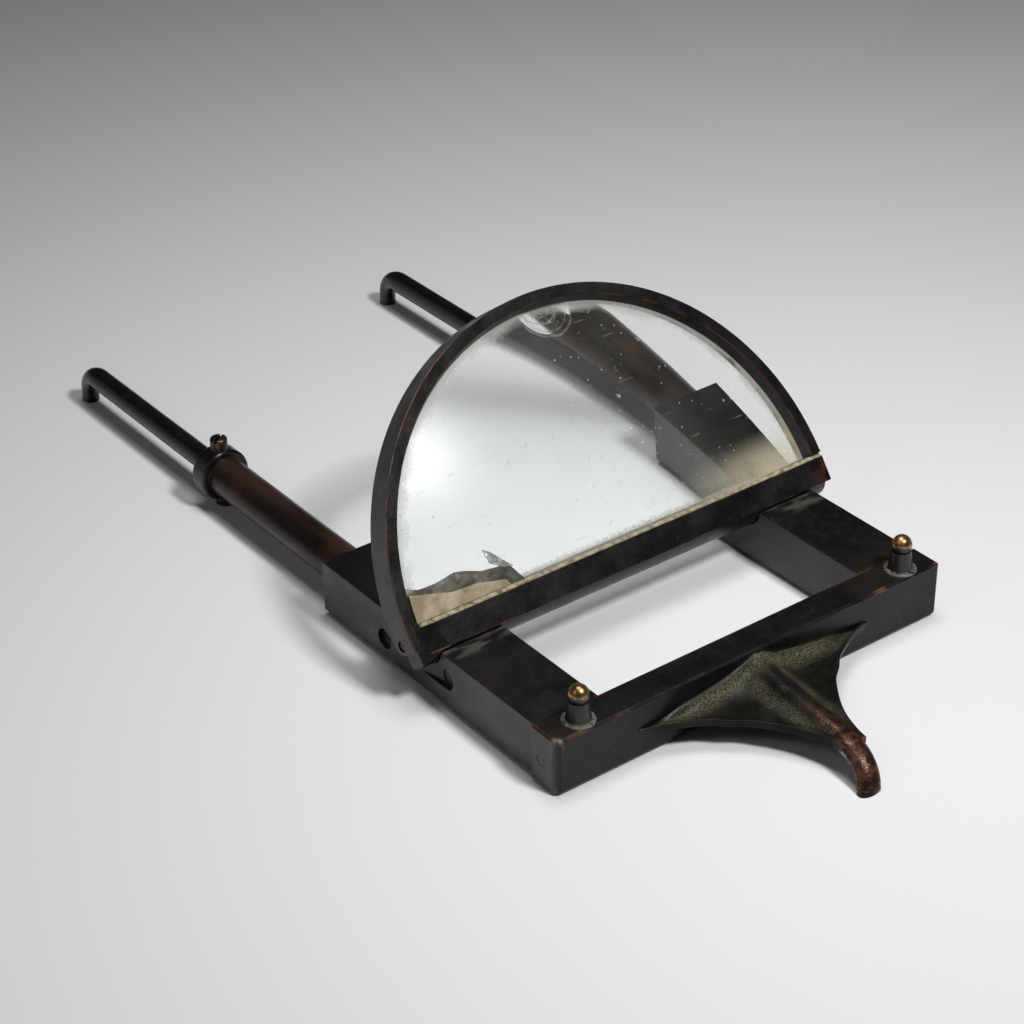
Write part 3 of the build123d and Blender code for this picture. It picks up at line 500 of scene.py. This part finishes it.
def make_gloss_paint():
    """Smooth glossy black of the collars and hooked rods, with green dust where they meet the tubes."""
    s, color, rough, edge, heights = painted("gloss_black", 0.0005, 0.5, 0.2, (0.16, 0.30), 0.00001)
    ring = s.times(s.hollows(0.0022, 0.35, 0.80), s.step(s.noise(600, 4), 0.35, 0.60), 0.6)
    color = s.mix(ring, color, RING_DUST)
    s.surface(color, s.math("MAXIMUM", rough, s.times(ring, 0.8)), s.times(edge, 0.5))
    s.bump(*heights)
    return s.material


def make_tube_patina():
    """Brown patina with a red sheen on the brass tubes."""
    s = Shader("tube_patina")
    streaks = s.noise(180, 5, stretch=(1, 0.12, 1))
    blotches = s.noise(90, 4, offset=2.5)
    color = s.mix(s.step(streaks, 0.36, 0.66), DARK_PATINA, BROWN_PATINA)
    color = s.mix(s.times(s.step(blotches, 0.52, 0.70), 0.6), color, RED_PATINA)
    dust = s.times(s.hollows(0.0025, 0.30, 0.75), s.step(s.noise(700, 4), 0.35, 0.60), 0.5)
    color = s.mix(dust, color, TUBE_DUST)
    rough = s.step(s.noise(260, 4, stretch=(1, 0.2, 1)), 0.3, 0.7, 0.26, 0.44)
    s.surface(color, s.math("MAXIMUM", rough, s.times(dust, 0.85)), 0.55)
    s.bump((s.noise(900, 3, stretch=(1, 0.15, 1)), 0.00002), (s.noise(140, 3), 0.00006))
    return s.material


def make_stud_brass():
    """Black cone with a ball worn back to brass and pale dust about its foot."""
    s = Shader("stud_brass")
    stud_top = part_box("left_ball_stud")[1][2]
    worn_line = stud_top - 0.0031
    foot_line = stud_top - 0.0098
    z = s.axis(2)
    spots = s.noise(420, 5)
    ball = s.step(s.math("ADD", z, s.wobble(spots, 0.0030)), worn_line, worn_line + 0.0009)
    paint = s.mix(s.noise(300, 4, offset=2.0), BLACK, CONE_BROWN)
    bright = s.mix(s.step(s.noise(650, 4, offset=5.0), 0.40, 0.62), BALL_BRASS, OLD_BRASS)
    color = s.mix(ball, paint, bright)
    foot = s.times(s.step(z, foot_line + 0.0008, foot_line), s.step(s.noise(900, 4), 0.34, 0.52))
    color = s.mix(s.times(foot, 0.38), color, PALE_DUST)
    rough = s.blend(ball, 0.38, s.step(spots, 0.3, 0.7, 0.20, 0.40))
    s.surface(color, s.math("MAXIMUM", rough, s.times(foot, 0.9)), s.times(ball, 0.95))
    s.bump((s.noise(1400, 3), 0.00004), (s.noise(500, 2), 0.00005))
    return s.material


def make_turned_brass(name, light, dark, rough=(0.28, 0.5)):
    """Mottled brass with rubbed edges, and painted shade darkening its slots and corners."""
    s = Shader(name)
    color = s.mix(s.step(s.noise(380, 5), 0.36, 0.64), dark, light)
    worn = s.times(s.edges(0.0003), 0.8)
    color = s.mix(worn, color, COPPER)
    # painted shade: black mixed into the slots and corners where the surroundings close in
    painted_slot_shade = s.times(s.hollows(0.0015, 0.25, 0.75), 0.8)
    color = s.mix(painted_slot_shade, color, BLACK)
    s.surface(color, s.step(s.noise(900, 3), 0.3, 0.7, *rough), 0.85)
    s.bump((s.noise(1600, 3), 0.00003), rounding=0.0002)
    return s.material


def make_spring_steel():
    """Drawn wire, stained brown in places."""
    s = Shader("spring_steel")
    color = s.mix(s.step(s.noise(500, 4), 0.4, 0.65), STEEL, STEEL_STAIN)
    s.surface(color, s.step(s.noise(900, 3), 0.3, 0.7, 0.22, 0.45), 1.0)
    s.bump((s.noise(1800, 3), 0.00002))
    return s.material


def make_putty():
    """Dry tan putty in two tones, with brown stains."""
    s = Shader("tan_putty")
    color = s.mix(s.step(s.noise(170, 5), 0.36, 0.64), DARK_PUTTY, PALE_PUTTY)
    stains = s.times(s.step(s.noise(420, 4, offset=4.0), 0.52, 0.70), 0.5)
    color = s.mix(stains, color, PUTTY_STAIN)
    s.surface(color, s.step(s.noise(300, 3), 0.3, 0.7, 0.6, 0.85))
    s.bump((s.noise(900, 4), 0.00010), (s.noise(240, 3), 0.00020))
    return s.material


def lens_dust(s, across, height):
    """Mask of what lies on the glass: dust at its edge and foot, haze, scratches and dots."""
    radius = s.math("SQRT", s.math("ADD", s.times(across, across), s.times(height, height)))
    ragged = s.wobble(s.noise(1300, 5), 0.0016)
    drift = s.wobble(s.noise(130, 3, offset=3.0), 0.0050)
    reach = s.math("ADD", radius, s.math("ADD", ragged, drift))
    rim_dust = s.step(reach, LENS_EDGE_R - 0.0034, LENS_EDGE_R - 0.0004, 0.0, 0.55)
    foot_dust = s.step(s.math("ADD", height, ragged), 0.0036, 0.0012, 0.0, 0.62)
    right_haze = s.times(s.step(across, 0.016, 0.052), s.step(height, 0.014, 0.001), 0.60)
    right_haze = s.times(right_haze, s.step(s.noise(85, 5), 0.25, 0.65, 0.45, 1.0))
    thin_film = s.times(s.step(s.noise(38, 4, offset=1.0), 0.35, 0.70), 0.035)
    streaks = s.noise(260, 2, stretch=(0.15, 3.0, 3.0), offset=6.0)
    scratches = s.times(s.step(streaks, 0.71, 0.74), 0.14)
    fine_dots = s.times(s.specks(430, 0.13, 0.50), s.step(across, -0.020, 0.010))
    dots = s.times(s.most(s.specks(330, 0.13, 0.10), s.specks(150, 0.08, 0.08), fine_dots), 0.60)
    return s.most(rim_dust, foot_dust, s.math("ADD", right_haze, thin_film), scratches, dots)


def dusty_film(s, across, height):
    """The dust itself: creamy at the lower right, brown along the foot, and half letting light through."""
    warm = s.times(s.step(across, 0.010, 0.050), s.step(height, 0.024, 0.006))
    low = s.step(height, 0.0045, 0.0030)
    powder_color = s.mix(warm, s.mix(low, GREY_POWDER, BROWN_POWDER), CREAM_POWDER)
    powder = s.node("ShaderNodeBsdfDiffuse")
    s.feed(powder.inputs["Color"], powder_color)
    glow = s.node("ShaderNodeBsdfTranslucent")
    s.feed(glow.inputs["Color"], powder_color)
    return s.mix_shaders(0.35, powder, glow)


def clear_glass(s):
    """Sharp behind, with the soft reflection of a surface long handled."""
    bent = s.node("ShaderNodeBsdfRefraction")
    bent.inputs["IOR"].default_value = GLASS_IOR
    bent.inputs["Roughness"].default_value = 0.0
    bent.inputs["Color"].default_value = CLEAR_GLASS
    sheen = s.node("ShaderNodeBsdfAnisotropic")
    sheen.inputs["Roughness"].default_value = 0.23
    fresnel = s.node("ShaderNodeFresnel")
    fresnel.inputs["IOR"].default_value = GLASS_IOR
    mirror = fresnel.outputs[0]
    return s.mix_shaders(s.math("ADD", s.times(mirror, 0.26), s.times(mirror, mirror)), bent, sheen)


def broken_face(s, across, height):
    """Mask of the broken corner at the lower left, which is steep against the polished faces."""
    facing = s.math("ABSOLUTE", s.dot(s.geometry.outputs["Normal"], tuple(BACK)))
    steep = s.step(facing, 0.965, 0.90)
    left_part = s.step(across, -0.030, -0.034)
    low_part = s.step(height, 0.016, 0.0145)
    return s.times(steep, left_part, low_part)


def chip_rings(s):
    """Mask of the glassy rings about the round chip."""
    chip = s.node("ShaderNodeVectorMath", operation="LENGTH")
    s.feed(chip.inputs[0], s.from_point(tuple(CHIP_POINT)))
    wave = s.math("ADD", chip.outputs["Value"], s.wobble(s.noise(180, 2), 0.0016))
    radii_and_widths = ((0.0085, 0.00035), (0.0072, 0.00022), (0.0051, 0.00020))
    return s.most(*[s.band(wave, radius, half_width) for radius, half_width in radii_and_widths])


def fractured_glass(s):
    """Grey-green glass with the shell marks of a fracture."""
    stone = s.node("ShaderNodeBsdfPrincipled")
    cracked = s.mix(s.step(s.noise(300, 4), 0.4, 0.62), DARK_FRACTURE, PALE_FRACTURE)
    s.feed(stone.inputs["Base Color"], cracked)
    stone.inputs["Roughness"].default_value = 0.18
    shell = s.node("ShaderNodeBump")
    shell.inputs["Distance"].default_value = 0.0004
    s.feed(shell.inputs["Height"], s.noise(380, 2, stretch=(1, 0.4, 1)))
    s.feed(stone.inputs["Normal"], shell.outputs["Normal"])
    return stone


def make_lens_glass():
    """Clear glass with its dust, its chip and its broken corner."""
    s = Shader("lens_glass")
    across = s.axis(0)
    height = s.dot(s.from_point(tuple(RING_CENTRE)), tuple(UP))
    dust = lens_dust(s, across, height)
    damage = s.most(s.times(broken_face(s, across, height), 0.75), s.times(chip_rings(s), 0.45))
    glass = s.mix_shaders(damage, clear_glass(s), fractured_glass(s))
    dusty = s.mix_shaders(dust, glass, dusty_film(s, across, height))
    # light for what lies behind passes straight through and is dimmed a little, more so high on the lens
    veil = s.node("ShaderNodeBsdfTransparent")
    high = s.step(height, 0.010, 0.042)
    s.feed(veil.inputs["Color"], s.mix(high, FAINT_VEIL, GREY_VEIL))
    path = s.node("ShaderNodeLightPath")
    lighting = s.most(path.outputs["Is Shadow Ray"], s.times(path.outputs["Is Diffuse Ray"], 0.87))
    passed = s.times(lighting, s.rest(s.times(dust, 0.5)))
    last = s.mix_shaders(passed, dusty, veil)
    s.feed(s.out.inputs["Surface"], last.outputs[0])
    return s.material


def make_flake_glass():
    """Grey glass of the flake that stands at the broken corner."""
    s = Shader("flake_glass")
    s.surface(s.mix(s.step(s.noise(700, 3), 0.40, 0.62), DARK_FLAKE, PALE_FLAKE), 0.10)
    s.bsdf.inputs["Transmission Weight"].default_value = 0.55
    s.bump((s.noise(600, 2, stretch=(1, 0.4, 1)), 0.0003))
    return s.material


def make_flake(material):
    """Thin sliver of glass lifted off the front of the lens where it broke."""
    # each point across, up and back from the lens's foot
    outline = [
        (-0.0421, 0.0190, -0.0021),
        (-0.0406, 0.0178, -0.0024),
        (-0.0372, 0.0137, -0.0029),
        (-0.0359, 0.0123, -0.0031),
        (-0.0392, 0.0132, -0.0027),
        (-0.0416, 0.0152, -0.0023),
    ]
    thickness = 0.0004
    front = [FOOT + Vector((u, 0, 0)) + UP * v + BACK * d for u, v, d in outline]
    back = [point + BACK * thickness for point in front]
    count = len(outline)
    sides = [(i, (i + 1) % count, (i + 1) % count + count, i + count) for i in range(count)]
    faces = [tuple(range(count)), tuple(reversed(range(count, 2 * count)))] + sides
    mesh = bpy.data.meshes.new("lens_flake")
    mesh.from_pydata([tuple(point) for point in front + back], [], faces)
    flake = bpy.data.objects.new("lens_flake", mesh)
    scene.collection.objects.link(flake)
    mesh.materials.append(material)
    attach(flake, "lens_frame")


def make_floor():
    """Pale floor, set a hair below zero so that it doesn't meet the part's underside."""
    s = Shader("floor")
    s.surface(s.mix(s.noise(6, 3), FLOOR_SHADE, FLOOR_WHITE), 0.65)
    half = 3.0
    corners = [(-half, -half, 0), (half, -half, 0), (half, half, 0), (-half, half, 0)]
    mesh = bpy.data.meshes.new("floor")
    mesh.from_pydata(corners, [], [(0, 1, 2, 3)])
    floor = bpy.data.objects.new("floor", mesh)
    scene.collection.objects.link(floor)
    floor.location.z = -0.00005
    mesh.materials.append(s.material)


make_floor()
make_flake(make_flake_glass())
screw_brass = make_turned_brass("screw_brass", SCREW_BRASS, SCREW_BROWN, rough=(0.25, 0.45))
plain_brass = make_turned_brass("plain_brass", PLAIN_BRASS, PLAIN_BROWN)
rail_paint = make_rail_paint()
gloss_paint = make_gloss_paint()
tube_patina = make_tube_patina()
stud_brass = make_stud_brass()
spring_steel = make_spring_steel()
materials = {
    "front_crossbar": make_crossbar_paint(),
    "crossbar_dowels": rail_paint,
    "lens_rim": make_rim_paint(),
    "lens_bar": make_bar_paint(),
    "lens": make_lens_glass(),
    "lens_putty": make_putty(),
    "lens_retainer": plain_brass,
    "hinge_pins": screw_brass,
    "hinge_washers": plain_brass,
    "tube_screws": screw_brass,
    "collar_screws": screw_brass,
    "collar_pins": screw_brass,
}
for side in ("left", "right"):
    materials[side + "_rail"] = rail_paint
    materials[side + "_ball_stud"] = stud_brass
    materials[side + "_tube"] = tube_patina
    materials[side + "_tube_plug"] = plain_brass
    materials[side + "_collar"] = gloss_paint
    materials[side + "_hook_rod"] = gloss_paint
    materials[side + "_piston"] = plain_brass
    materials[side + "_spring"] = spring_steel
for name, node in nodes.items():
    node.data.materials.clear()
    node.data.materials.append(materials[name])
